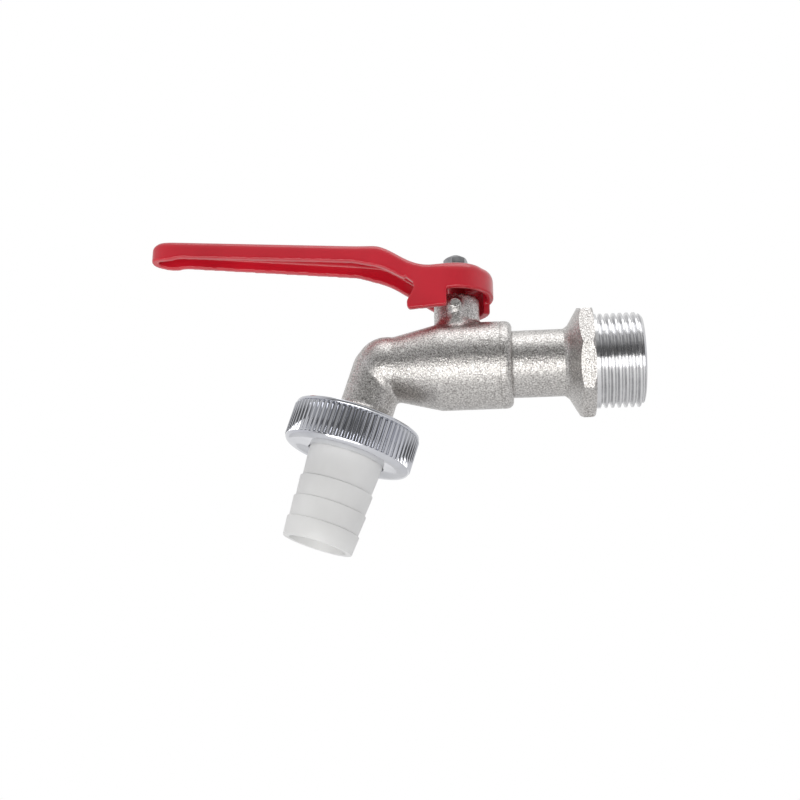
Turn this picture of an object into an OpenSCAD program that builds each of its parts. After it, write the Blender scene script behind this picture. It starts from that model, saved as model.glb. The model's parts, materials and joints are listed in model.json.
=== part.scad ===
// Ball drain valve with a hose union: screwed inlet, quarter-turn ball, lever handle and an
// outlet turned down to a union nut that holds a barbed hose tail.
// Millimetres. The origin is on the inlet axis in the plane of the wrench shoulder, +X points
// out of the inlet thread and +Z up the stem, so the body and the lever reach out along -X.

/* [Inlet connector] */
// Outside diameter of the inlet pipe thread
thread_d = 26.44; // [26.2:0.02:26.6]
// Length of the inlet thread from the wrench shoulder to the open end
thread_len = 13.5; // [12.5:0.1:15]
// Distance across the flats of the octagonal wrench section
octagon_af = 30; // [29:0.1:31]
// Length of the wrench section over its corners
octagon_len = 4.2; // [3.6:0.1:5]
// Outside diameter of the plain neck
neck_d = 18.9; // [18.4:0.1:19.2]
// Bore of the neck
neck_bore_d = 14; // [12:0.5:14.5]
// Bore of the threaded end
inlet_bore_d = 19.8; // [18:0.1:20.4]

/* [Body] */
// Distance from the stem axis to the wrench shoulder
stem_reach = 37.8; // [37:0.1:39]
// Outside diameter of the ball chamber
chamber_d = 24.7; // [24.4:0.1:25.4]
// Distance from the stem axis to the collar's end face
collar_reach = 15.5; // [15.4:0.1:16]
// Radius on the collar's outer edge
collar_round = 2; // [1.6:0.1:2.2]
// Distance from the stem axis to the centre of the rounded elbow
elbow_reach = 20; // [19.6:0.1:20.6]
// Radius of the rounded elbow
elbow_r = 9.3; // [9.1:0.1:9.6]
// Height of the stem boss above the inlet axis
boss_top = 19.9; // [19.6:0.1:20.1]
// Diameter of the stem boss
boss_d = 13; // [12.6:0.1:13.2]

/* [Stop peg] */
// Height of the peg's centre above the inlet axis
peg_z = 16; // [15.8:0.1:16.4]
// Diameter of the round peg
peg_d = 3.7; // [3.4:0.1:3.8]
// Reach of the peg's face from the stem axis
peg_reach = 8.7; // [8.2:0.1:8.8]

/* [Outlet] */
// Lean of the outlet axis away from straight down, in degrees
outlet_tilt = 17.5; // [16.5:0.5:18.5]
// Distance from the stem axis to where the outlet axis crosses the inlet axis
outlet_reach = 23.65; // [23.4:0.05:24]
// Outside diameter of the spout tube
spout_d = 15.4; // [15:0.1:15.8]
// Sideways step of the spout tube from the outlet axis, towards the inlet
spout_step = 1.3; // [1:0.1:1.5]
// Outside diameter of the outlet thread
outlet_thread_d = 33.25; // [33.2:0.01:33.3]
// Distance along the outlet axis to the flat end of the spout
spout_len = 21.4; // [21:0.1:21.8]

/* [Ball and seats] */
// Diameter of the ball
ball_d = 20; // [19.8:0.1:20]
// Bore of the ball
ball_bore_d = 12.5; // [11:0.5:12.5]
// Bore of the two seat rings
seat_bore_d = 13; // [12.8:0.1:13.4]

/* [Stem] */
// Diameter of the stem
stem_d = 6; // [5.8:0.1:6]
// Width of the stem across its two flats
stem_flats = 4.4; // [4.2:0.1:4.6]
// Thickness of the tang that turns the ball
tang_t = 3.1; // [2.9:0.05:3.1]
// Diameter of the threaded stem end
stem_thread_d = 3.96; // [3.9:0.02:4]

/* [Lever] */
// Reach of the lever's tip from the stem axis
lever_len = 91; // [88:0.5:94]
// Radius of the round cap
cap_r = 10.7; // [10.6:0.1:10.8]
// Height of the cap's flat top
cap_top = 28.5; // [28.4:0.1:28.8]
// Radius on the cap's top edge
cap_round = 3.2; // [3:0.1:3.4]
// Height of the cap's lower rim
rim_z = 20.2; // [20.1:0.1:20.6]
// Thickness of the pressed steel
sheet_t = 1.5; // [1.3:0.1:1.6]
// Rise of the grip towards its tip, in degrees
grip_rise = 5.45; // [4.5:0.05:6]
// Height of the grip's top where it leaves the bend
grip_z = 36.4; // [36:0.1:36.8]
// Depth of the grip's side walls
grip_depth = 5.1; // [4.9:0.1:5.5]
// Half width of the grip at the bend
grip_half_w = 6.93; // [6.8:0.01:7.1]
// Narrowing of each side per millimetre of grip
grip_taper = 0.036; // [0.03:0.001:0.04]

/* [Union nut] */
// Outside diameter over the knurl
nut_d = 36.5; // [36.3:0.1:37]
// Number of ridges in the knurl
ridge_count = 90; // [72:6:90]
// Depth of the grooves between the ridges
ridge_depth = 0.5; // [0.4:0.05:0.55]
// Distance along the outlet axis to the nut's upper rim
nut_start = 15.5; // [15.4:0.1:15.7]
// Height of the nut
nut_h = 10.9; // [10.8:0.1:11.1]
// Thickness of the lip that holds the hose tail
lip_t = 1.4; // [1.3:0.1:1.5]

/* [Hose tail] */
// Diameter over the barb edges
barb_d = 21; // [20.8:0.1:21.2]
// Diameter of the plain part above the barbs
tail_d = 20.7; // [20.4:0.1:20.8]
// Distance along the outlet axis to the first barb edge
first_barb = 35.35; // [35:0.05:36]
// Distance between the barb edges
barb_pitch = 5.87; // [5.7:0.01:6]
// Number of barbs
barb_count = 3; // [2:1:3]
// Bore of the hose tail
tail_bore_d = 16; // [15:0.5:16]
// Distance along the outlet axis to the hose tail's tip
tail_tip = 52.4; // [52:0.1:54]

/* [Hidden] */
$fn = 64;

nickel = [0.66, 0.65, 0.62];
bright_nickel = [0.76, 0.76, 0.77];
red = [0.80, 0.07, 0.13];
steel = [0.62, 0.63, 0.65];
white = [0.90, 0.90, 0.88];
seal_black = [0.08, 0.08, 0.09];

gap = 0.05;          // radial clearance of a running fit
eps = 0.5;           // overrun of a cutter past a face

// Inside of the body, measured from the stem axis
chamber_r = 10.3;
seat_back = 8.6;     // back face of each seat ring
seat_front = 5.2;    // front face of each seat ring
seal_t = 1;
joint_thread_r = 11.05;
port_r = 6.5;
tube_bore_r = 5.9;
flange_pocket_r = 4.3;
shoulder_z = 12.6;   // underside of the shoulder that keeps the stem in
thrust_t = 0.4;

// Stem levels
tang_z = 7.5;
tang_w = 7.4;
slot_z = 7.4;        // floor of the ball's slot
flange_z = 10.6;
lever_seat_z = cap_top - sheet_t;
washer_t = 0.8;
lever_nut_h = 3.7;
lever_nut_af = 6.35;
lever_nut_turn = -12.6;
o_ring_z = [14.6, 17.4];
o_ring_cord_r = 0.5;

// Outlet levels, measured down the outlet axis
thread_start = 15.4;
gasket_t = 2;
tail_flange_t = nut_start + nut_h - lip_t - spout_len - gasket_t;
nut_thread_r = outlet_thread_d / 2 + 0.08;
nut_mouth_r = 10.9;
tail_flange_r = 15.6;
knurl_start = nut_start + 1.1;
knurl_len = 9.1;

// Coordinates
module at_stem() { translate([-stem_reach, 0, 0]) children(); }
module along_x() { rotate([0, 90, 0]) children(); }
module down_outlet() {
    translate([-stem_reach - outlet_reach, 0, 0]) rotate([0, 180 + outlet_tilt, 0]) children();
}
module ring(r_in, r_out, h) {
    difference() {
        cylinder(r = r_out, h = h);
        translate([0, 0, -eps]) cylinder(r = r_in, h = h + 2 * eps);
    }
}

// Valve body: one casting with the chamber, the elbow, the spout and the stem boss

cone_end = 6.6;      // where the cone runs into the chamber, behind the stem axis
seam_step = 0.45;    // how far the cone stays inside the chamber's surface there
cone_lean = atan((chamber_d / 2 - seam_step - elbow_r) / (elbow_reach - cone_end));

// Half outline of the chamber and elbow, turned about the inlet axis
module chamber_outline() {
    intersection() {
        translate([0, -elbow_reach]) circle(r = elbow_r);
        translate([0, -elbow_reach - elbow_r]) square([elbow_r, elbow_r * 2]);
    }
    tangent_r = elbow_r * cos(cone_lean);
    tangent_a = -elbow_reach + elbow_r * sin(cone_lean);
    polygon([[0, -elbow_reach], [tangent_r, tangent_a], [chamber_d / 2 - seam_step, -cone_end],
             [chamber_d / 2, 2 - cone_end], [chamber_d / 2, collar_reach - collar_round],
             [chamber_d / 2 - collar_round, collar_reach - collar_round],
             [chamber_d / 2 - collar_round, collar_reach], [0, collar_reach]]);
    translate([chamber_d / 2 - collar_round, collar_reach - collar_round])
        circle(r = collar_round);
}

module spout_outside() {
    translate([-spout_step, 0, 0]) {
        sphere(r = spout_d / 2);
        cylinder(r = spout_d / 2, h = thread_start);
    }
    translate([0, 0, thread_start - 2]) cylinder(r1 = 10.2, r2 = outlet_thread_d / 2 - 0.6, h = 2);
    translate([0, 0, thread_start])
        cylinder(d = outlet_thread_d, h = spout_len - thread_start - 1);
    translate([0, 0, spout_len - 1])
        cylinder(d1 = outlet_thread_d, d2 = outlet_thread_d - 2, h = 1);
}

module stop_peg() {
    translate([0, 0, peg_z]) rotate([90, 0, 0]) {
        cylinder(d = peg_d, h = peg_reach - 0.4);
        translate([0, 0, peg_reach - 0.4]) cylinder(d1 = peg_d, d2 = peg_d - 0.8, h = 0.4);
    }
    translate([-peg_d / 2 + 0.1, -7.6, 9]) cube([peg_d - 0.2, 4, peg_z - 9]);
}

module body_outside() {
    at_stem() {
        along_x() rotate_extrude() chamber_outline();
        cylinder(d = boss_d, h = boss_top);
        translate([0, 0, 10.6]) cylinder(r1 = boss_d / 2 + 1.2, r2 = boss_d / 2, h = 2);
        stop_peg();
    }
    down_outlet() spout_outside();
}

module body_inside() {
    at_stem() {
        along_x() {
            translate([0, 0, -seat_back]) cylinder(r = chamber_r, h = 2 * seat_back + eps);
            translate([0, 0, seat_back]) cylinder(r = joint_thread_r, h = 5.8);
            translate([0, 0, seat_back + 5]) cylinder(r = 10.4, h = 5);
            translate([0, 0, -elbow_reach]) cylinder(r = port_r, h = elbow_reach - seat_back + eps);
        }
        translate([-elbow_reach, 0, 0]) sphere(r = port_r);
        cylinder(r = flange_pocket_r, h = shoulder_z);
        cylinder(r = stem_d / 2 + gap, h = boss_top + eps);
    }
    down_outlet() {
        translate([-spout_step, 0, 0]) {
            sphere(r = tube_bore_r);
            cylinder(r = tube_bore_r, h = spout_len);
        }
        translate([0, 0, spout_len - 4]) cylinder(r1 = 7.3, r2 = 9.5, h = 4 + 0.01);
    }
}

module valve_body() {
    color(nickel) difference() {
        body_outside();
        body_inside();
    }
}

// Inlet connector: a turned and part-cast piece screwed into the chamber

module octagon_section() {
    flare_x = -octagon_len - 4.3;
    intersection() {
        translate([0, 0, flare_x])
            cylinder(r = octagon_af / 2 / cos(22.5), h = -flare_x, $fn = 8);
        rotate_extrude()
            polygon([[0, flare_x], [neck_d / 2 - 0.3, flare_x], [neck_d / 2 + 0.85, flare_x + 1.6],
                     [octagon_af / 2 + 1.8, -octagon_len + 1.15], [octagon_af / 2 + 1.8, -1.4],
                     [octagon_af / 2 + 0.2, 0], [0, 0]]);
    }
}

module inlet_connector() {
    nose_x = seat_back - stem_reach;
    color(bright_nickel) difference() {
        along_x() {
            cylinder(d = thread_d, h = thread_len - 1.2);
            translate([0, 0, thread_len - 1.2]) cylinder(d1 = thread_d, d2 = thread_d - 2.4, h = 1.2);
            octagon_section();
            translate([0, 0, nose_x]) cylinder(d = neck_d, h = -nose_x);
            translate([0, 0, nose_x]) cylinder(r = chamber_r - gap, h = seal_t + 1);
            translate([0, 0, nose_x + seal_t]) cylinder(r = joint_thread_r - gap, h = 4.6);
        }
        along_x() {
            translate([0, 0, nose_x - eps]) cylinder(d = neck_bore_d, h = stem_reach + thread_len);
            translate([0, 0, 0]) cylinder(d = inlet_bore_d, h = thread_len + eps);
            translate([0, 0, -3]) cylinder(d1 = neck_bore_d, d2 = inlet_bore_d, h = 3.01);
        }
    }
}

module connector_seal() {
    color(white) at_stem() translate([seat_back, 0, 0]) along_x()
        ring(chamber_r, joint_thread_r - gap, seal_t);
}

// Ball and its two seat rings

module ball() {
    color(steel) at_stem() difference() {
        sphere(d = ball_d, $fn = 96);
        along_x() translate([0, 0, -ball_d]) cylinder(d = ball_bore_d, h = 2 * ball_d);
        translate([-tang_t / 2 - gap, -tang_w / 2 - 0.5, slot_z])
            cube([tang_t + 2 * gap, tang_w + 1, ball_d]);
    }
}

module seat_ring() {
    color(white) difference() {
        translate([0, 0, seat_front]) ring(seat_bore_d / 2, chamber_r - gap, seat_back - seat_front);
        sphere(r = ball_d / 2 + 0.03, $fn = 96);
    }
}

module seat_inlet() { at_stem() along_x() seat_ring(); }
module seat_outlet() { at_stem() mirror([1, 0, 0]) along_x() seat_ring(); }

// Stem with its thrust washer and O-rings

module stem() {
    end_z = cap_top + washer_t + lever_nut_h + 0.7;
    color(bright_nickel) at_stem() difference() {
        union() {
            translate([-tang_t / 2, -tang_w / 2, tang_z])
                cube([tang_t, tang_w, flange_z - tang_z + 0.1]);
            translate([0, 0, flange_z]) {
                cylinder(r = flange_pocket_r - 0.1, h = shoulder_z - thrust_t - flange_z);
                cylinder(d = stem_d, h = lever_seat_z - flange_z);
                cylinder(d = stem_thread_d, h = end_z - flange_z);
            }
            intersection() {
                cylinder(d = stem_d, h = cap_top + 0.1);
                translate([-stem_d, -stem_flats / 2, 20]) cube([2 * stem_d, stem_flats, 20]);
            }
        }
        for (z = o_ring_z)
            translate([0, 0, z - 0.65]) ring(stem_d / 2 - 1, stem_d, 1.3);
    }
}

module stem_thrust_washer() {
    color(white) at_stem() translate([0, 0, shoulder_z - thrust_t])
        ring(stem_d / 2 + gap, flange_pocket_r - gap, thrust_t);
}

module o_ring(z) {
    color(seal_black) at_stem() translate([0, 0, z]) rotate_extrude()
        translate([stem_d / 2 - 1 + o_ring_cord_r + 0.02, 0]) circle(r = o_ring_cord_r);
}

module stem_o_ring_lower() { o_ring(o_ring_z[0]); }
module stem_o_ring_upper() { o_ring(o_ring_z[1]); }

// Lever: pressed steel, a round cap that runs out into a channel-shaped arm.
// Everything is a function of d, the distance from the stem axis towards the tip. A section
// at d is an inverted U with rounded corners, and s is how far a surface lies inside the
// outer one, so the outside and the hollow come from the same functions.

bend_in = 6.5;       // where the arm starts to rise out of the cap
bend_out = 23.5;     // where it runs out into the straight grip
arm_round = 2;       // radius on the arm's top edges
tip_round = 3.5;     // radius on the tip's top edge
tip_start = 83;      // where the sides start to close round the tip
tab_z = 15.1;        // bottom of the stop tab in front
rear_tab_z = 16.8;   // bottom of the stop tab at the back

function smooth(t) = let (c = min(1, max(0, t))) c * c * (3 - 2 * c);
function mix(a, b, t) = a + (b - a) * t;
function grip_line(d) = grip_z + (d - 25) * tan(grip_rise);
function crown(d) = mix(cap_top, grip_line(d), smooth((d - bend_in) / (bend_out - bend_in)));
function tip_drop(d, s) =
    let (over = d - (lever_len - tip_round), r = tip_round - s)
    over <= 0 ? 0 : r - sqrt(max(0, r * r - over * over));
function cap_drop(d, s) =
    let (r = cap_round - s, over = -d - (cap_r - cap_round))
    over <= 0 ? 0 : r - sqrt(max(0, r * r - over * over));
function top_z(d, s) = crown(d) - s - tip_drop(d, s) - cap_drop(d, s);
function wall_depth(d) =
    grip_depth + 1.4 * (smooth((d - 8) / 8) - smooth((d - 21) / 10)) + 3.2 * smooth((d - 76) / 15);
function low_z(d) = d < 14 ? tab_z : crown(d) - wall_depth(d);

neck_tangent = 2.34;
neck_start = 10.44;
neck_slope = 0.2238;
function grip_half(d) = grip_half_w - grip_taper * (d - 25) + 0.5 * (1 - smooth((d - 21) / 9));
function neck_half(d) = neck_start - neck_slope * (d - neck_tangent);
function plain_half(d) =
    d < neck_tangent ? sqrt(max(0, cap_r * cap_r - d * d))
                     : mix(neck_half(d), grip_half(d), smooth((d - 9) / 9));
function tip_close(d, s) =
    let (u = max(0, (d - tip_start) / (lever_len - s - tip_start)))
    pow(max(0, 1 - pow(u, 2.6)), 1 / 2.6);
function half_w(d, s) =
    d < neck_tangent && s > 0 ? sqrt(max(0, pow(cap_r - s, 2) - d * d))
                              : (plain_half(d) - s) * tip_close(d, s);

function flat_half(d, s) =
    let (cap = sqrt(max(0, pow(cap_r - cap_round, 2) - d * d)),
         arm = max(0.1, half_w(d, s) - (arm_round - s * 0.6)))
    max(0.1, mix(cap, arm, smooth((d + 2) / 10)) * (d > tip_start ? tip_close(d, s) : 1));
function corner_z(d, s) =
    mix(cap_top - cap_round, min(top_z(d, s) - 0.3, crown(d) - arm_round - s * 0.4),
        smooth((d + 2) / 10));

arc_steps = 5;
function section(d, s, base) =
    let (b = half_w(d, s), f = min(flat_half(d, s), b * 0.95), t = top_z(d, s), c = corner_z(d, s),
         arc = [for (i = [0 : arc_steps])
                let (a = 90 * i / arc_steps) [f + (b - f) * cos(a), c + (t - c) * sin(a)]])
    concat([[b, base]], arc, [for (i = [arc_steps : -1 : 0]) [-arc[i][0], arc[i][1]]],
           [[-b, base]]);

cap_stations = [for (a = [10 : 10 : 80]) a];
arm_stations = [0, 2.34, 5, 7, 9, 11, 13, 13.99, 14.01, 16, 18, 20, 22, 25, 29, 36, 50, 64, 76,
                80, 83];
tip_stations = [0.3, 0.5, 0.68, 0.82, 0.91, 0.965, 0.992];
function stations(s) =
    concat([for (a = cap_stations) -(cap_r - s) * cos(a)], arm_stations,
           [for (u = tip_stations) tip_start + u * (lever_len - s - tip_start)]);

module loft(s) {
    ds = stations(s);
    rows = len(ds);
    n = 2 * arc_steps + 4;
    points = [for (d = ds) for (p = section(d, s, s > 0 ? tab_z - 4 : low_z(d))) [-d, p[0], p[1]]];
    sides = [for (i = [0 : rows - 2]) for (j = [0 : n - 1])
             let (k = (j + 1) % n, a = i * n + j, b = i * n + k, c = b + n, e = a + n)
             each [[a, b, c], [a, c, e]]];
    first = [for (j = [n - 1 : -1 : 0]) j];
    last = [for (j = [0 : n - 1]) (rows - 1) * n + j];
    polyhedron(points, concat(sides, [first, last]), convexity = 6);
}

// Cutters, side views extruded across the lever. The front one leaves the stop tab.
module side_cut(outline, y0, y1) {
    translate([0, y1, 0]) rotate([90, 0, 0]) linear_extrude(y1 - y0) polygon(outline);
}

front_cut = [[14, rim_z], [-2.2, rim_z], [-2.2, tab_z + 0.4], [-2.6, tab_z], [-12.9, tab_z + 0.3],
             [-13.6, tab_z + 1], [-13.7, tab_z + 2.6], [-11.6, tab_z + 6.6], [-11.9, 23.4],
             [-14.2, 25.6], [-20, 10], [-20, 5], [14, 5]];
rear_cut = [[14, rim_z], [-6.5, rim_z], [-9.5, 22], [-14.2, 25.6], [-20, 10], [-20, 5], [14, 5]];

module rear_tab() {
    translate([0, 0, rear_tab_z]) rotate(15) rotate_extrude(angle = 85)
        translate([cap_r - 2.25, 0]) square([sheet_t - 0.05, 7]);
}

module lever() {
    color(red) at_stem() {
        difference() {
            loft(0);
            loft(sheet_t);
            side_cut(front_cut, -20, 0);
            side_cut(rear_cut, 0, 20);
            intersection() {
                cylinder(d = stem_d + 0.06, h = 40);
                translate([-5, -stem_flats / 2 - 0.03, 20]) cube([10, stem_flats + 0.06, 20]);
            }
        }
        rear_tab();
    }
}

module lever_washer() {
    color(steel) at_stem() translate([0, 0, cap_top]) ring(stem_d / 2 + 0.1, 4.4, washer_t);
}

module lever_nut() {
    h = lever_nut_h;
    corner_r = lever_nut_af / 2 / cos(30);
    color(steel) at_stem() translate([0, 0, cap_top + washer_t]) difference() {
        intersection() {
            rotate(-90 + lever_nut_turn) cylinder(r = corner_r, h = h, $fn = 6);
            union() {
                cylinder(r = corner_r + 0.1, h = h - 0.6);
                translate([0, 0, h - 0.6]) cylinder(r1 = corner_r + 0.1, r2 = corner_r - 0.6, h = 0.6);
            }
        }
        translate([0, 0, -eps]) cylinder(d = stem_thread_d + 0.04, h = h + 2 * eps);
    }
}

// Union: knurled nut, flat gasket and hose tail

function ridge_point(i, r_low, r_high) =
    let (k = i % 4, a = 360 * (floor(i / 4) + [0, 0.3, 0.55, 0.75][k]) / ridge_count,
         r = k < 2 ? r_high : r_low)
    [r * cos(a), r * sin(a)];

module knurl(h) {
    linear_extrude(h)
        polygon([for (i = [0 : 4 * ridge_count - 1]) ridge_point(i, nut_d / 2 - ridge_depth, nut_d / 2)]);
}

module union_nut() {
    nut_end = nut_start + nut_h;
    color(bright_nickel) down_outlet() difference() {
        union() {
            translate([0, 0, knurl_start]) knurl(knurl_len);
            translate([0, 0, nut_start]) cylinder(r1 = nut_d / 2 - 0.6, r2 = nut_d / 2 - 0.3, h = 0.4);
            translate([0, 0, nut_start + 0.4]) cylinder(r = nut_d / 2 - 0.3, h = 0.5);
            translate([0, 0, nut_start + 0.9]) cylinder(r = nut_d / 2 - 0.75, h = nut_h - 1.5);
            translate([0, 0, nut_end - 0.75]) cylinder(r1 = nut_d / 2 - 0.05, r2 = nut_d / 2 - 0.7, h = 0.75);
        }
        translate([0, 0, nut_start - eps]) cylinder(r = nut_thread_r, h = nut_h - lip_t + eps);
        translate([0, 0, nut_start]) cylinder(r = nut_mouth_r, h = nut_h + eps);
    }
}

module union_gasket() {
    color(seal_black) down_outlet() translate([0, 0, spout_len]) ring(9.6, 15.6, gasket_t);
}

function barb_edge(i) = first_barb + i * barb_pitch;

module hose_tail() {
    flange_z = spout_len + gasket_t;
    low_r = barb_d / 2 - 0.5;
    barb_points = [for (i = [0 : barb_count - 1])
                   each [[barb_d / 2, barb_edge(i)],
                         [i < barb_count - 1 ? low_r : low_r - 0.1,
                          i < barb_count - 1 ? barb_edge(i + 1) - 0.01 : tail_tip - 0.5]]];
    color(white) down_outlet() difference() {
        rotate_extrude() polygon(concat(
            [[0, flange_z], [tail_flange_r, flange_z], [tail_flange_r, flange_z + tail_flange_t],
             [tail_d / 2, flange_z + tail_flange_t], [tail_d / 2, first_barb - 0.01]],
            barb_points,
            [[low_r - 0.5, tail_tip], [0, tail_tip]]));
        translate([0, 0, flange_z - eps]) cylinder(d = tail_bore_d, h = tail_tip);
    }
}

valve_body();
inlet_connector();
connector_seal();
ball();
seat_inlet();
seat_outlet();
stem();
stem_thrust_washer();
stem_o_ring_lower();
stem_o_ring_upper();
lever();
lever_washer();
lever_nut();
union_nut();
union_gasket();
hose_tail();
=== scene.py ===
import bpy
import json
import math
import numpy as np
from mathutils import Matrix, Vector


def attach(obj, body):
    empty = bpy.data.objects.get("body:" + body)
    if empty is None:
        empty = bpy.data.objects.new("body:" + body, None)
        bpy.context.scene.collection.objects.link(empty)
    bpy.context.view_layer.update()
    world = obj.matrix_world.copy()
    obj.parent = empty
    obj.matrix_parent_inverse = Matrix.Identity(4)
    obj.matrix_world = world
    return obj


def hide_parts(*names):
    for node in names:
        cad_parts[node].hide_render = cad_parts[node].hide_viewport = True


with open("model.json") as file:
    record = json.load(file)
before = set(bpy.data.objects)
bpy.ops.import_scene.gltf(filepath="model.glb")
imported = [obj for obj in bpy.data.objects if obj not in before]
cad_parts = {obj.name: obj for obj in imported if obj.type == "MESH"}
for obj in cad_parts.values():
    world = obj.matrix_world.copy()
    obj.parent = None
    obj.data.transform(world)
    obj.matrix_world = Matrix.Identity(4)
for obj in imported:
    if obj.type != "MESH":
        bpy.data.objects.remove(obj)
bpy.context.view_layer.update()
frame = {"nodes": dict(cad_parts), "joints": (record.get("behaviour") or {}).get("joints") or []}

mm = 0.001

# Places taken from the record: the stem's axis, and the way the outlet points
joints = {joint["name"]: joint for joint in frame["joints"]}
stemAxis = Vector(joints["lever_turn"]["pos_m"]) * Vector((1, 0, 0))
outletDown = Vector(joints["nut_turn"]["axis"])
outletTilt = math.atan2(-outletDown.x, -outletDown.z)


# Selecting and finishing

def startClean():
    if bpy.context.mode != "OBJECT":
        bpy.ops.object.mode_set(mode="OBJECT")
    bpy.ops.object.select_all(action="DESELECT")


def makeActive(piece):
    startClean()
    piece.select_set(True)
    bpy.context.view_layer.objects.active = piece


def applyPlace(piece):
    makeActive(piece)
    bpy.ops.object.transform_apply(location=True, rotation=True, scale=True)


def addModifier(piece, kind, **settings):
    makeActive(piece)
    modifier = piece.modifiers.new(kind.title(), kind)
    for key, value in settings.items():
        setattr(modifier, key, value)
    bpy.ops.object.modifier_apply(modifier=modifier.name)


# Materials

def newMaterial(name):
    material = bpy.data.materials.new(name)
    material.use_nodes = True
    nodes = material.node_tree.nodes
    shader = nodes["Principled BSDF"]
    coords = nodes.new("ShaderNodeTexCoord")
    return material, nodes, material.node_tree.links, shader, coords


def noiseNode(nodes, links, coords, scale, detail=2.0, roughness=0.5):
    noise = nodes.new("ShaderNodeTexNoise")
    noise.inputs["Scale"].default_value = scale
    noise.inputs["Detail"].default_value = detail
    noise.inputs["Roughness"].default_value = roughness
    links.new(coords.outputs["Object"], noise.inputs["Vector"])
    return noise


def rampNode(nodes, links, source, stops):
    ramp = nodes.new("ShaderNodeValToRGB")
    elements = ramp.color_ramp.elements
    while len(elements) < len(stops):
        elements.new(0.5)
    for element, (place, colour) in zip(elements, stops):
        element.position = place
        element.color = (*colour, 1) if len(colour) == 3 else colour
    links.new(source, ramp.inputs["Fac"])
    return ramp


def grey(level):
    return (level, level, level)


def bumpNode(nodes, links, height, strength, distance, under=None):
    bump = nodes.new("ShaderNodeBump")
    bump.inputs["Strength"].default_value = strength
    bump.inputs["Distance"].default_value = distance
    links.new(height, bump.inputs["Height"])
    if under:
        links.new(under.outputs["Normal"], bump.inputs["Normal"])
    return bump


def metalMaterial(name, look):
    material, nodes, links, shader, coords = newMaterial(name)
    shader.inputs["Metallic"].default_value = 1.0
    tone = noiseNode(nodes, links, coords, look["toneScale"], 4.0)
    colours = rampNode(nodes, links, tone.outputs["Fac"],
                       [(0.35, look["dark"]), (0.65, look["light"])])
    links.new(colours.outputs["Color"], shader.inputs["Base Color"])
    polish = noiseNode(nodes, links, coords, look["toneScale"] * 2.3, 3.0)
    rough = rampNode(nodes, links, polish.outputs["Fac"],
                     [(0.3, grey(look["smooth"])), (0.7, grey(look["rough"]))])
    links.new(rough.outputs["Color"], shader.inputs["Roughness"])
    grain = noiseNode(nodes, links, coords, look["grainScale"], 3.0, 0.6)
    bump = bumpNode(nodes, links, grain.outputs["Fac"], look["grain"], look["grainHeight"])
    links.new(bump.outputs["Normal"], shader.inputs["Normal"])
    return material


castNickelLook = {
    "dark": (0.30, 0.285, 0.275), "light": (0.80, 0.78, 0.76), "toneScale": 2400.0,
    "smooth": 0.20, "rough": 0.38, "grainScale": 2100.0, "grain": 0.9, "grainHeight": 0.00016,
}
turnedNickelLook = {
    "dark": (0.66, 0.66, 0.67), "light": (0.76, 0.76, 0.77), "toneScale": 180.0,
    "smooth": 0.14, "rough": 0.22, "grainScale": 1500.0, "grain": 0.12, "grainHeight": 0.00004,
}
chromeLook = {
    "dark": (0.62, 0.63, 0.67), "light": (0.74, 0.75, 0.79), "toneScale": 120.0,
    "smooth": 0.04, "rough": 0.08, "grainScale": 500.0, "grain": 0.06, "grainHeight": 0.00003,
}
zincLook = {
    "dark": (0.30, 0.30, 0.31), "light": (0.44, 0.44, 0.45), "toneScale": 500.0,
    "smooth": 0.28, "rough": 0.4, "grainScale": 2200.0, "grain": 0.25, "grainHeight": 0.00006,
}


def plasticMaterial(name, look):
    material, nodes, links, shader, coords = newMaterial(name)
    tone = noiseNode(nodes, links, coords, look["toneScale"], 3.0)
    colours = rampNode(nodes, links, tone.outputs["Fac"],
                       [(0.3, look["dark"]), (0.7, look["light"])])
    links.new(colours.outputs["Color"], shader.inputs["Base Color"])
    shader.inputs["Roughness"].default_value = look["roughness"]
    grain = noiseNode(nodes, links, coords, look["grainScale"], 2.0)
    bump = bumpNode(nodes, links, grain.outputs["Fac"], look["grain"], look["grainHeight"])
    links.new(bump.outputs["Normal"], shader.inputs["Normal"])
    return material, shader


tailPlasticLook = {
    "dark": (0.74, 0.74, 0.735), "light": (0.80, 0.80, 0.795), "toneScale": 90.0,
    "roughness": 0.42, "grainScale": 900.0, "grain": 0.1, "grainHeight": 0.00004,
}
sealPlasticLook = {
    "dark": (0.80, 0.80, 0.78), "light": (0.87, 0.87, 0.85), "toneScale": 300.0,
    "roughness": 0.5, "grainScale": 1800.0, "grain": 0.1, "grainHeight": 0.00003,
}
rubberLook = {
    "dark": (0.018, 0.018, 0.020), "light": (0.035, 0.035, 0.037), "toneScale": 400.0,
    "roughness": 0.62, "grainScale": 2500.0, "grain": 0.2, "grainHeight": 0.00004,
}
enamelLook = {
    "dark": (0.52, 0.008, 0.022), "light": (0.62, 0.012, 0.030), "toneScale": 70.0,
    "roughness": 0.3, "grainScale": 380.0, "grain": 0.12, "grainHeight": 0.0001,
    "coat": 0.45, "coatRoughness": 0.07,
}


def enamelMaterial():
    material, shader = plasticMaterial("redEnamel", enamelLook)
    shader.inputs["Coat Weight"].default_value = enamelLook["coat"]
    shader.inputs["Coat Roughness"].default_value = enamelLook["coatRoughness"]
    return material


castNickel = metalMaterial("castNickel", castNickelLook)
turnedNickel = metalMaterial("turnedNickel", turnedNickelLook)
chrome = metalMaterial("chromePlate", chromeLook)
zincSteel = metalMaterial("zincSteel", zincLook)
tailPlastic = plasticMaterial("tailPlastic", tailPlasticLook)[0]
sealPlastic = plasticMaterial("sealPlastic", sealPlasticLook)[0]
sealRubber = plasticMaterial("sealRubber", rubberLook)[0]
redEnamel = enamelMaterial()

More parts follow.
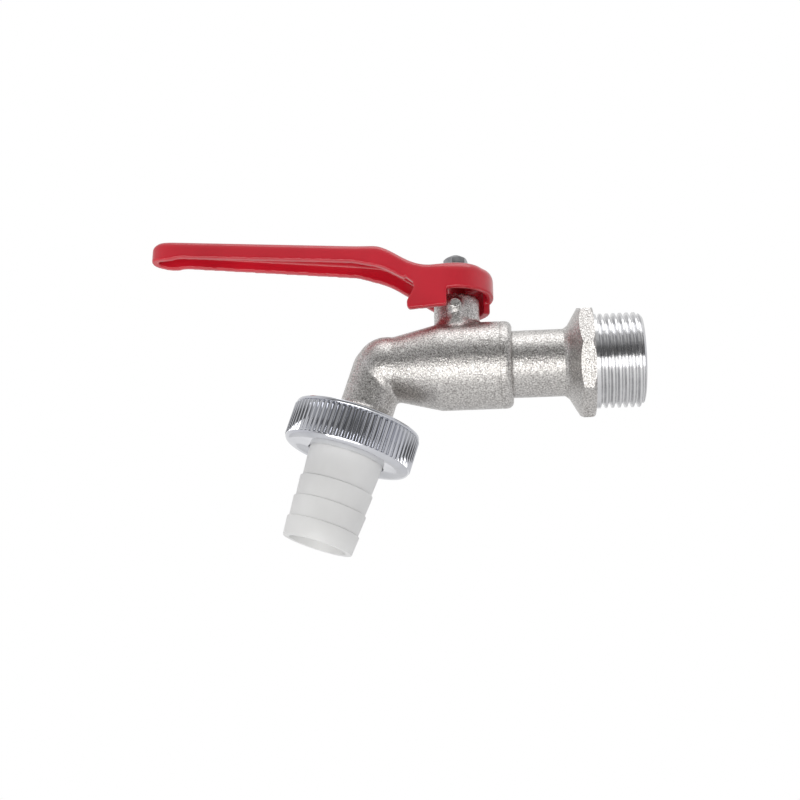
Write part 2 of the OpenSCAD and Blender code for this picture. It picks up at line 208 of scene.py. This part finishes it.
nodeMaterials = {
    "valve_body": castNickel, "inlet_connector": castNickel, "connector_seal": sealPlastic,
    "ball": chrome, "seat_inlet": sealPlastic, "seat_outlet": sealPlastic, "stem": turnedNickel,
    "stem_thrust_washer": sealPlastic, "stem_o_ring_lower": sealRubber,
    "stem_o_ring_upper": sealRubber, "lever": redEnamel, "lever_washer": zincSteel,
    "lever_nut": zincSteel, "union_nut": chrome, "union_gasket": sealRubber,
    "hose_tail": tailPlastic,
}
for nodeName, nodeMaterial in nodeMaterials.items():
    nodeMesh = frame["nodes"][nodeName].data
    nodeMesh.materials.clear()
    nodeMesh.materials.append(nodeMaterial)
print("materials are on")


# Making pieces

outletTop = Vector(joints["nut_turn"]["pos_m"]) - outletDown * 20 * mm


def finishPiece(piece, name, body, slot, material, *replaced):
    piece.name = name
    piece.data.name = name
    if material:
        piece.data.materials.clear()
        piece.data.materials.append(material)
    applyPlace(piece)
    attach(piece, body)
    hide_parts(*replaced)
    print(name + " is made")


def mergeAndTurnOut(piece):
    makeActive(piece)
    bpy.ops.object.mode_set(mode="EDIT")
    bpy.ops.mesh.select_all(action="SELECT")
    bpy.ops.mesh.remove_doubles(threshold=0.001 * mm)
    bpy.ops.mesh.normals_make_consistent(inside=False)
    bpy.ops.object.mode_set(mode="OBJECT")


def smoothShading(piece, degrees):
    makeActive(piece)
    bpy.ops.object.shade_smooth_by_angle(angle=math.radians(degrees))


def linkNew(name, mesh):
    startClean()
    piece = bpy.data.objects.new(name, mesh)
    bpy.context.scene.collection.objects.link(piece)
    return piece


def copyOfNode(nodeName):
    piece = linkNew(nodeName + "Copy", frame["nodes"][nodeName].data.copy())
    makeActive(piece)
    if piece.data.has_custom_normals:
        bpy.ops.mesh.customdata_custom_splitnormals_clear()
    mergeAndTurnOut(piece)
    return piece


def cutWith(piece, cutter, operation="DIFFERENCE", solver="EXACT"):
    addModifier(piece, "BOOLEAN", object=cutter, operation=operation, solver=solver)
    bpy.data.objects.remove(cutter)


# A circle pulled along a closed section of (radius, height) pairs in mm
def turnSection(section, steps):
    startClean()
    radius, height = section[0]
    bpy.ops.mesh.primitive_circle_add(vertices=steps, radius=radius * mm,
                                      location=(0, 0, height * mm))
    piece = bpy.context.object
    applyPlace(piece)
    bpy.ops.object.mode_set(mode="EDIT")
    bpy.ops.mesh.select_all(action="SELECT")
    for nextRadius, nextHeight in section[1:] + section[:1]:
        rise = (0, 0, (nextHeight - height) * mm)
        bpy.ops.mesh.extrude_region_move(TRANSFORM_OT_translate={"value": rise})
        grow = nextRadius / radius
        bpy.ops.transform.resize(value=(grow, grow, 1), center_override=(0, 0, 0))
        radius, height = nextRadius, nextHeight
    bpy.ops.object.mode_set(mode="OBJECT")
    mergeAndTurnOut(piece)
    return piece


def arcPoints(centre, radius, fromDegrees, toDegrees, count):
    points = []
    for i in range(count + 1):
        a = math.radians(fromDegrees + (toDegrees - fromDegrees) * i / count)
        points.append((centre[0] + radius * math.cos(a), centre[1] + radius * math.sin(a)))
    return points


def placeOnOutlet(piece):
    piece.rotation_euler = (0, math.pi + outletTilt, 0)
    piece.location = outletTop
    applyPlace(piece)


def placeOnInlet(piece):
    piece.rotation_euler = (0, math.pi / 2, 0)
    applyPlace(piece)


def smoothStep(t):
    t = min(1.0, max(0.0, t))
    return t * t * (3 - 2 * t)


def mix(a, b, t):
    return a + (b - a) * t


# Cast body: the solid remeshed fine, its edges eased and its hollow corners filleted

castBodyShape = {
    "voxel": 0.36 * mm, "easing": 4, "hollow": 0.05, "filletReach": 4, "filletSteps": 70,
    "seamPlace": -25.6 * mm, "seamRadius": 12.36 * mm, "seamDepth": 0.16 * mm,
}


def hollowVertices(mesh, shape):
    places = np.empty(len(mesh.vertices) * 3)
    mesh.vertices.foreach_get("co", places)
    places = places.reshape(-1, 3)
    normals = np.empty(len(mesh.vertices) * 3)
    mesh.vertices.foreach_get("normal", normals)
    normals = normals.reshape(-1, 3)
    ends = np.empty(len(mesh.edges) * 2, dtype=np.int64)
    mesh.edges.foreach_get("vertices", ends)
    ends = ends.reshape(-1, 2)
    total = np.zeros_like(places)
    share = np.zeros(len(places))
    for here, there in ((0, 1), (1, 0)):
        np.add.at(total, ends[:, here], places[ends[:, there]])
        np.add.at(share, ends[:, here], 1)
    middle = total / np.maximum(share, 1)[:, None]
    chosen = ((middle - places) * normals).sum(axis=1) / shape["voxel"] > shape["hollow"]
    for step in range(shape["filletReach"]):
        wider = chosen.copy()
        for here, there in ((0, 1), (1, 0)):
            np.logical_or.at(wider, ends[:, here], chosen[ends[:, there]])
        chosen = wider
    return [int(i) for i in np.flatnonzero(chosen)]


def makeCastBody():
    shape = castBodyShape
    piece = copyOfNode("valve_body")
    addModifier(piece, "REMESH", mode="VOXEL", voxel_size=shape["voxel"])
    addModifier(piece, "SMOOTH", factor=0.5, iterations=shape["easing"])
    group = piece.vertex_groups.new(name="hollows")
    group.add(hollowVertices(piece.data, shape), 1.0, "REPLACE")
    addModifier(piece, "SMOOTH", factor=0.5, iterations=shape["filletSteps"], vertex_group="hollows")
    piece.vertex_groups.clear()
    startClean()
    bpy.ops.mesh.primitive_torus_add(major_segments=180, minor_segments=8,
                                     major_radius=shape["seamRadius"], minor_radius=shape["seamDepth"])
    seam = bpy.context.object
    seam.rotation_euler = (0, math.pi / 2, 0)
    seam.location = (shape["seamPlace"], 0, 0)
    applyPlace(seam)
    cutWith(piece, seam)
    smoothShading(piece, 50)
    finishPiece(piece, "castBody", "body", "cast_nickel", castNickel, "valve_body")


makeCastBody()

# Inlet connector: the solid with its pipe thread cut by a die

inletThread = {
    "pitch": 1.814, "root": 12.06, "crest": 13.4, "rowsInPitch": 12, "steps": 72,
    "rodStart": 0.3, "rodEnd": 14.8, "dieStart": 0.9, "dieEnd": 14.3, "dieRadius": 17.0,
}


def threadedRod(shape):
    startClean()
    bpy.ops.mesh.primitive_plane_add(size=1 * mm, location=(shape["root"] * mm, 0, 0))
    rod = bpy.context.object
    applyPlace(rod)
    bpy.ops.object.mode_set(mode="EDIT")
    bpy.ops.mesh.select_all(action="SELECT")
    bpy.ops.mesh.merge(type="CENTER")
    radius = shape["root"]
    for i in range(1, shape["rowsInPitch"] + 1):
        slope = 1 - abs(2 * i / shape["rowsInPitch"] - 1)
        nextRadius = mix(shape["root"], shape["crest"], smoothStep((slope - 0.1) / 0.8))
        step = ((nextRadius - radius) * mm, 0, shape["pitch"] / shape["rowsInPitch"] * mm)
        bpy.ops.mesh.extrude_vertices_move(TRANSFORM_OT_translate={"value": step})
        radius = nextRadius
    bpy.ops.object.mode_set(mode="OBJECT")
    turns = int((shape["rodEnd"] - shape["rodStart"]) / shape["pitch"]) + 4
    addModifier(rod, "SCREW", axis="Z", screw_offset=shape["pitch"] * mm, iterations=turns,
                steps=shape["steps"], render_steps=shape["steps"])
    rod.location = (0, 0, (shape["rodStart"] - 2 * shape["pitch"]) * mm)
    applyPlace(rod)
    mergeAndTurnOut(rod)
    for height, lower in ((shape["rodStart"], True), (shape["rodEnd"], False)):
        makeActive(rod)
        bpy.ops.object.mode_set(mode="EDIT")
        bpy.ops.mesh.select_all(action="SELECT")
        bpy.ops.mesh.bisect(plane_co=(0, 0, height * mm), plane_no=(0, 0, 1), use_fill=True,
                            clear_inner=lower, clear_outer=not lower, threshold=0.0001 * mm)
        bpy.ops.object.mode_set(mode="OBJECT")
    mergeAndTurnOut(rod)
    return rod


def makeInletConnector():
    shape = inletThread
    rod = threadedRod(shape)
    startClean()
    length = (shape["dieEnd"] - shape["dieStart"]) * mm
    bpy.ops.mesh.primitive_cylinder_add(vertices=64, radius=shape["dieRadius"] * mm, depth=length,
                                        location=(0, 0, shape["dieStart"] * mm + length / 2))
    die = bpy.context.object
    applyPlace(die)
    cutWith(die, rod)
    placeOnInlet(die)
    piece = copyOfNode("inlet_connector")
    cutWith(piece, die)
    mergeAndTurnOut(piece)
    piece.data.materials.clear()
    piece.data.materials.append(castNickel)
    piece.data.materials.append(turnedNickel)
    for face in piece.data.polygons:
        face.material_index = 1 if face.center.x > 0.01 * mm else 0
    smoothShading(piece, 28)
    finishPiece(piece, "inletConnector", "body", "turned_nickel", None, "inlet_connector")


makeInletConnector()

# Union nut: turned, then knurled by pressing grooves in towards the axis

unionNutShape = {
    "outer": 18.25, "ridges": 70, "stepsInRidge": 12, "knurlStart": 16.8, "knurlEnd": 25.6,
    "top": 15.5, "bottom": 27.0, "edgeRadius": 1.5, "edgeOuter": 18.1, "mouth": 10.9,
    "threadBore": 16.7, "lip": 1.4,
    # how far each step of a ridge lies under its top
    "groove": (0.05, 0.0, 0.0, 0.05, 0.32, 0.56, 0.62, 0.62, 0.62, 0.62, 0.56, 0.32),
}


def unionNutSection(shape):
    outer = shape["outer"]
    top = shape["top"]
    bottom = shape["bottom"]
    edgeCentre = (shape["edgeOuter"] - shape["edgeRadius"], bottom - shape["edgeRadius"])
    rim = [(17.1, top), (17.6, top), (17.85, top + 0.08), (17.95, top + 0.3), (17.95, top + 0.75),
           (17.85, top + 0.92), (17.5, top + 0.98), (17.5, top + 1.1)]
    knurl = [(outer - 0.2, shape["knurlStart"] - 0.17), (outer, shape["knurlStart"]),
             (outer, shape["knurlEnd"]), (outer - 0.12, shape["knurlEnd"] + 0.1)]
    edge = arcPoints(edgeCentre, shape["edgeRadius"], 9.5, 90, 12)
    inside = [(shape["mouth"] + 0.35, bottom), (shape["mouth"] + 0.1, bottom - 0.08),
              (shape["mouth"], bottom - 0.3), (shape["mouth"], bottom - shape["lip"]),
              (shape["threadBore"], bottom - shape["lip"]), (shape["threadBore"], top + 0.4)]
    return rim + knurl + edge + inside


def makeUnionNut():
    shape = unionNutShape
    piece = turnSection(unionNutSection(shape), shape["ridges"] * shape["stepsInRidge"])
    mesh = piece.data
    stepAngle = 2 * math.pi / (shape["ridges"] * shape["stepsInRidge"])
    lowest = (shape["knurlStart"] - 0.2) * mm
    highest = (shape["knurlEnd"] + 0.12) * mm
    knurlRows = {}
    for vertex in mesh.vertices:
        across = math.hypot(vertex.co.x, vertex.co.y)
        if lowest < vertex.co.z < highest and across > (shape["outer"] - 0.25) * mm:
            step = round(math.atan2(vertex.co.y, vertex.co.x) / stepAngle) % shape["stepsInRidge"]
            knurlRows.setdefault(shape["groove"][step], []).append(vertex.index)
    for depth, chosen in knurlRows.items():
        if depth == 0:
            continue
        makeActive(piece)
        bpy.ops.object.mode_set(mode="EDIT")
        bpy.ops.mesh.select_mode(type="VERT")
        bpy.ops.mesh.select_all(action="DESELECT")
        bpy.ops.object.mode_set(mode="OBJECT")
        for index in chosen:
            mesh.vertices[index].select = True
        bpy.ops.object.mode_set(mode="EDIT")
        shrink = 1 - depth / shape["outer"]
        bpy.ops.transform.resize(value=(shrink, shrink, 1), center_override=(0, 0, 0))
        bpy.ops.object.mode_set(mode="OBJECT")
    smoothShading(piece, 32)
    placeOnOutlet(piece)
    finishPiece(piece, "unionNut", "nut", "chromed_brass", chrome, "union_nut")


makeUnionNut()

# Hose tail: a tapered spigot with three barbs, turned and then eased on its edges

hoseTailShape = {
    "flangeTop": 23.4, "flangeBottom": 25.6, "flangeRadius": 15.6, "neck": 10.6, "low": 9.95,
    "barb": 10.5, "barbFirst": 35.35, "barbPitch": 5.87, "barbCount": 3, "tip": 52.4, "bore": 8.0,
    "barbTaper": 0.07, "edge": 0.14,
}


def makeHoseTail():
    shape = hoseTailShape
    section = [(shape["bore"], shape["flangeTop"]), (shape["flangeRadius"], shape["flangeTop"]),
               (shape["flangeRadius"], shape["flangeBottom"]), (shape["neck"], shape["flangeBottom"]),
               (shape["neck"], shape["flangeBottom"] + 1.7), (shape["low"], shape["barbFirst"] - 0.12)]
    for i in range(shape["barbCount"]):
        edgeHeight = shape["barbFirst"] + i * shape["barbPitch"]
        section.append((shape["barb"] - i * shape["barbTaper"], edgeHeight))
        if i < shape["barbCount"] - 1:
            section.append((shape["low"] - i * shape["barbTaper"],
                            edgeHeight + shape["barbPitch"] - 0.12))
    section += [(shape["low"] - 0.1, shape["tip"]), (shape["bore"] + 0.1, shape["tip"])]
    piece = turnSection(section, 180)
    addModifier(piece, "BEVEL", limit_method="ANGLE", angle_limit=math.radians(14),
                width=shape["edge"] * mm, segments=2)
    smoothShading(piece, 40)
    placeOnOutlet(piece)
    finishPiece(piece, "hoseTail", "tail", "hose_tail_plastic", tailPlastic, "hose_tail")


makeHoseTail()

# Lever: a pressed sheet. Its sections stand along the arm, d mm from the stem's axis, and
# an inset gives the same surface from inside the sheet.

leverShape = {
    "length": 91.0, "capRadius": 10.7, "capTop": 28.5, "capRound": 3.2, "sheet": 2.0,
    "rise": 5.45, "gripHeight": 36.4, "gripDepth": 5.3, "gripHalf": 6.7, "gripTaper": 0.036,
    "bendIn": 6.5, "bendOut": 23.5, "armRound": 2.0, "tipRound": 3.5, "tipStart": 83.0,
    "tipLobe": 0.8, "neckTangent": 2.34, "neckHalf": 10.44, "neckTaper": 0.2238,
    "rim": 20.2, "tabLow": 15.1, "rearTabLow": 16.8, "rearTabOuter": 9.95,
    "holeRadius": 3.05, "holeFlats": 4.48, "voxel": 0.3 * mm, "easing": 5,
}
frontCut = [(14, 20.2), (-2.2, 20.2), (-2.2, 15.5), (-2.6, 15.1), (-12.9, 15.4), (-13.6, 16.1),
            (-13.7, 17.7), (-11.6, 21.7), (-11.9, 23.4), (-14.2, 25.6), (-20, 10), (-20, 5), (14, 5)]
rearCut = [(14, 20.2), (-6.5, 20.2), (-9.5, 22), (-14.2, 25.6), (-20, 10), (-20, 5), (14, 5)]


def crownAt(d):
    grip = leverShape["gripHeight"] + (d - 25) * math.tan(math.radians(leverShape["rise"]))
    along = (d - leverShape["bendIn"]) / (leverShape["bendOut"] - leverShape["bendIn"])
    return mix(leverShape["capTop"], grip, smoothStep(along))


def edgeDrop(over, radius):
    if over <= 0:
        return 0.0
    return radius - math.sqrt(max(0.0, radius * radius - over * over))


def topAt(d, inset):
    tip = edgeDrop(d - (leverShape["length"] - leverShape["tipRound"]), leverShape["tipRound"] - inset)
    cap = edgeDrop(-d - (leverShape["capRadius"] - leverShape["capRound"]),
                   leverShape["capRound"] - inset)
    return crownAt(d) - inset - tip - cap


def lowAt(d):
    if d < 14:
        return leverShape["tabLow"]
    depth = leverShape["gripDepth"] + 1.4 * (smoothStep((d - 8) / 8) - smoothStep((d - 21) / 10))
    return crownAt(d) - depth - leverShape["tipLobe"] * smoothStep((d - 81.5) / 4)


def tipClose(d, inset):
    span = leverShape["length"] - inset - leverShape["tipStart"]
    u = max(0.0, (d - leverShape["tipStart"]) / span)
    return max(0.0, 1 - u ** 2.6) ** (1 / 2.6)


def halfAt(d, inset):
    if d < leverShape["neckTangent"]:
        return math.sqrt(max(0.0, (leverShape["capRadius"] - inset) ** 2 - d * d))
    neck = leverShape["neckHalf"] - leverShape["neckTaper"] * (d - leverShape["neckTangent"])
    grip = leverShape["gripHalf"] - leverShape["gripTaper"] * (d - 25)
    grip += 0.5 * (1 - smoothStep((d - 21) / 9))
    return (mix(neck, grip, smoothStep((d - 9) / 9)) - inset) * tipClose(d, inset)


def leverSection(d, inset, base):
    half = halfAt(d, inset)
    top = topAt(d, inset)
    onCap = math.sqrt(max(0.0, (leverShape["capRadius"] - leverShape["capRound"]) ** 2 - d * d))
    onArm = max(0.1, half - (leverShape["armRound"] - inset * 0.6))
    flat = mix(onCap, onArm, smoothStep((d + 2) / 10))
    if d > leverShape["tipStart"]:
        flat *= tipClose(d, inset)
    flat = min(max(0.1, flat), half * 0.95)
    corner = mix(leverShape["capTop"] - leverShape["capRound"],
                 min(top - 0.3, crownAt(d) - leverShape["armRound"] - inset * 0.4),
                 smoothStep((d + 2) / 10))
    arc = []
    for i in range(11):
        a = math.radians(9 * i)
        arc.append((flat + (half - flat) * math.cos(a), corner + (top - corner) * math.sin(a)))
    side = [(half, base)] + arc
    outline = side + [(-y, z) for y, z in reversed(side)]
    return [(-d, y, z) for y, z in outline]


def leverStations(inset):
    inner = leverShape["capRadius"] - inset
    reach = leverShape["length"] - inset - leverShape["tipStart"]
    stations = [-inner * math.cos(math.radians(a)) for a in range(3, 90, 4)]
    stations += [0, 1.2, 2.34] + [0.5 * i for i in range(6, 28)] + [13.99, 14.01]
    stations += [0.5 * i for i in range(29, 64)] + [i for i in range(32, 84)]
    stations += [leverShape["tipStart"] + reach * math.sin(math.radians(a)) for a in range(5, 86, 4)]
    return stations


# Closed sections joined into one closed skin
def skinOver(name, sections):
    count = len(sections[0])
    points = [Vector(point) * mm for section in sections for point in section]
    faces = [tuple(range(count)), tuple(range(len(points) - count, len(points)))]
    for i in range(len(sections) - 1):
        for j in range(count):
            here = i * count + j
            beside = i * count + (j + 1) % count
            faces.append((here, beside, beside + count, here + count))
    mesh = bpy.data.meshes.new(name)
    mesh.from_pydata(points, [], faces)
    piece = linkNew(name, mesh)
    mergeAndTurnOut(piece)
    return piece


def rearTabSections():
    sections = []
    outer = leverShape["rearTabOuter"]
    inner = outer - leverShape["sheet"]
    for degrees in range(15, 101, 5):
        c = math.cos(math.radians(degrees))
        s = math.sin(math.radians(degrees))
        sections.append([(inner * c, inner * s, leverShape["rearTabLow"]),
                         (outer * c, outer * s, leverShape["rearTabLow"]),
                         (outer * c, outer * s, 23.5), (inner * c, inner * s, 23.5)])
    return sections


def stemHole():
    startClean()
    bpy.ops.mesh.primitive_cylinder_add(vertices=64, radius=leverShape["holeRadius"] * mm,
                                        depth=10 * mm, location=(0, 0, leverShape["capTop"] * mm))
    hole = bpy.context.object
    startClean()
    bpy.ops.mesh.primitive_cube_add(size=1, location=(0, 0, leverShape["capTop"] * mm),
                                    scale=(12 * mm, leverShape["holeFlats"] * mm, 12 * mm))
    flats = bpy.context.object
    applyPlace(hole)
    applyPlace(flats)
    cutWith(hole, flats, "INTERSECT")
    return hole


def makeLever():
    base = leverShape["tabLow"] - 4
    sheet = leverShape["sheet"]
    piece = skinOver("leverOuter", [leverSection(d, 0, lowAt(d)) for d in leverStations(0)])
    hollow = skinOver("leverInner", [leverSection(d, sheet, base) for d in leverStations(sheet)])
    cutWith(piece, hollow)
    for outline, lowY, highY in ((frontCut, -20, 0), (rearCut, 0, 20)):
        cutWith(piece, skinOver("sideCut", [[(x, y, z) for x, z in outline] for y in (lowY, highY)]))
    cutWith(piece, stemHole())
    tab = skinOver("rearTab", rearTabSections())
    makeActive(piece)
    tab.select_set(True)
    bpy.ops.object.join()
    addModifier(piece, "REMESH", mode="VOXEL", voxel_size=leverShape["voxel"])
    addModifier(piece, "SMOOTH", factor=0.5, iterations=leverShape["easing"])
    smoothShading(piece, 60)
    piece.location = stemAxis
    finishPiece(piece, "pressedLever", "handle", "red_enamel", redEnamel, "lever")


makeLever()

# Lever nut, with eased edges

def makeLeverNut():
    piece = copyOfNode("lever_nut")
    makeActive(piece)
    bpy.ops.object.mode_set(mode="EDIT")
    bpy.ops.mesh.select_all(action="SELECT")
    bpy.ops.mesh.dissolve_limited(angle_limit=math.radians(2))
    bpy.ops.object.mode_set(mode="OBJECT")
    addModifier(piece, "BEVEL", limit_method="ANGLE", angle_limit=math.radians(25),
                width=0.18 * mm, segments=3)
    smoothShading(piece, 35)
    finishPiece(piece, "leverNut", "handle", "zinc_steel", zincSteel, "lever_nut")


makeLeverNut()

# Studio: floor, lamps, surroundings and camera

studio = {
    "floorHeight": -0.30, "floorSize": 4.0, "floorColour": (0.92, 0.92, 0.92),
    "skyColour": (1.0, 1.0, 1.0), "skyStrength": 1.0, "sideColour": (0.72, 0.72, 0.74),
}
cameraView = {
    "target": Vector((-54.29, 0.0, -9.21)) * mm, "distance": 320 * mm, "lens": 51.125,
    "azimuth": 6.01, "elevation": -18.09, "roll": 0.30,
}
lampList = [
    # name, azimuth, elevation, distance, size across, size up, power, colour
    ("frontLamp", -12.0, -25.0, 0.50, 0.55, 0.25, 1.1, (1.0, 0.99, 0.97)),
    ("topLamp", 20.0, 75.0, 0.80, 0.7, 0.5, 1.6, (1.0, 1.0, 1.0)),
]


def buildFloor():
    startClean()
    bpy.ops.mesh.primitive_plane_add(size=studio["floorSize"],
                                     location=(0, 0, studio["floorHeight"]))
    floor = bpy.context.object
    floor.name = "studioFloor"
    applyPlace(floor)
    material, nodes, links, shader, coords = newMaterial("studioFloor")
    nodes.remove(shader)
    paint = nodes.new("ShaderNodeBsdfDiffuse")
    paint.inputs["Color"].default_value = (*studio["floorColour"], 1)
    glow = nodes.new("ShaderNodeEmission")
    glow.inputs["Strength"].default_value = 1.0
    lit = nodes.new("ShaderNodeMixShader")
    rays = nodes.new("ShaderNodeLightPath")
    share = nodes.new("ShaderNodeMath")
    share.operation = "MULTIPLY"
    share.inputs[1].default_value = 0.55
    links.new(rays.outputs["Is Camera Ray"], share.inputs[0])
    links.new(share.outputs[0], lit.inputs[0])
    links.new(paint.outputs[0], lit.inputs[1])
    links.new(glow.outputs[0], lit.inputs[2])
    side = nodes.new("ShaderNodeNewGeometry")
    clear = nodes.new("ShaderNodeBsdfTransparent")
    whole = nodes.new("ShaderNodeMixShader")
    links.new(side.outputs["Backfacing"], whole.inputs[0])
    links.new(lit.outputs[0], whole.inputs[1])
    links.new(clear.outputs[0], whole.inputs[2])
    links.new(whole.outputs[0], nodes["Material Output"].inputs["Surface"])
    floor.data.materials.append(material)


def buildSurroundings():
    world = bpy.data.worlds.new("studioSurroundings")
    bpy.context.scene.world = world
    world.use_nodes = True
    nodes = world.node_tree.nodes
    links = world.node_tree.links
    room = nodes["Background"]
    coords = nodes.new("ShaderNodeTexCoord")
    split = nodes.new("ShaderNodeSeparateXYZ")
    links.new(coords.outputs["Generated"], split.inputs[0])
    turned = nodes.new("ShaderNodeMath")
    turned.operation = "ARCTAN2"
    flip = nodes.new("ShaderNodeMath")
    flip.operation = "MULTIPLY"
    flip.inputs[1].default_value = -1.0
    links.new(split.outputs["Y"], flip.inputs[0])
    links.new(split.outputs["Z"], turned.inputs[0])
    links.new(flip.outputs[0], turned.inputs[1])
    spread = nodes.new("ShaderNodeMapRange")
    spread.inputs["From Min"].default_value = -math.pi
    spread.inputs["From Max"].default_value = math.pi
    links.new(turned.outputs[0], spread.inputs["Value"])

    def place(degrees):
        return (degrees + 180) / 360

    bands = rampNode(nodes, links, spread.outputs[0], [
        (place(-125), grey(0.85)), (place(-100), grey(0.14)), (place(15), grey(0.12)),
        (place(34), grey(0.5)), (place(110), grey(0.85)),
    ])
    sideways = nodes.new("ShaderNodeMath")
    sideways.operation = "ABSOLUTE"
    links.new(split.outputs["X"], sideways.inputs[0])
    sides = nodes.new("ShaderNodeMapRange")
    sides.inputs["From Min"].default_value = 0.70
    sides.inputs["From Max"].default_value = 0.93
    links.new(sideways.outputs[0], sides.inputs["Value"])
    whole = nodes.new("ShaderNodeMix")
    whole.data_type = "RGBA"
    links.new(sides.outputs[0], whole.inputs["Factor"])
    links.new(bands.outputs["Color"], whole.inputs["A"])
    whole.inputs["B"].default_value = (*studio["sideColour"], 1)
    links.new(whole.outputs["Result"], room.inputs["Color"])
    room.inputs["Strength"].default_value = studio["skyStrength"]
    white = nodes.new("ShaderNodeBackground")
    white.inputs["Color"].default_value = (*studio["skyColour"], 1)
    rays = nodes.new("ShaderNodeLightPath")
    both = nodes.new("ShaderNodeMixShader")
    links.new(rays.outputs["Is Camera Ray"], both.inputs[0])
    links.new(room.outputs[0], both.inputs[1])
    links.new(white.outputs[0], both.inputs[2])
    links.new(both.outputs[0], nodes["World Output"].inputs["Surface"])


def directionBack(azimuth, elevation):
    a = math.radians(azimuth)
    e = math.radians(elevation)
    return Vector((math.sin(a) * math.cos(e), -math.cos(a) * math.cos(e), math.sin(e)))


def addLamp(name, azimuth, elevation, distance, sizeX, sizeY, power, colour):
    startClean()
    back = directionBack(azimuth, elevation)
    bpy.ops.object.light_add(type="AREA", location=cameraView["target"] + back * distance)
    lamp = bpy.context.object
    lamp.name = name
    lamp.data.shape = "RECTANGLE"
    lamp.data.size = sizeX
    lamp.data.size_y = sizeY
    lamp.data.energy = power
    lamp.data.color = colour
    lamp.rotation_euler = (-back).to_track_quat("-Z", "Y").to_euler()


def addCamera():
    back = directionBack(cameraView["azimuth"], cameraView["elevation"])
    right = Vector((0, 0, 1)).cross(back).normalized()
    r = math.radians(cameraView["roll"])
    up = back.cross(right)
    turnedRight = right * math.cos(r) - up * math.sin(r)
    turnedUp = right * math.sin(r) + up * math.cos(r)
    startClean()
    bpy.ops.object.camera_add()
    camera = bpy.context.object
    camera.matrix_world = Matrix((turnedRight, turnedUp, back)).transposed().to_4x4()
    camera.location = cameraView["target"] + back * cameraView["distance"]
    camera.data.lens = cameraView["lens"]
    camera.data.clip_start = 0.01
    camera.data.clip_end = 20
    bpy.context.scene.camera = camera


buildFloor()
buildSurroundings()
for lampRow in lampList:
    addLamp(*lampRow)
addCamera()
bpy.context.scene.view_settings.view_transform = "Standard"
print("studio is set")
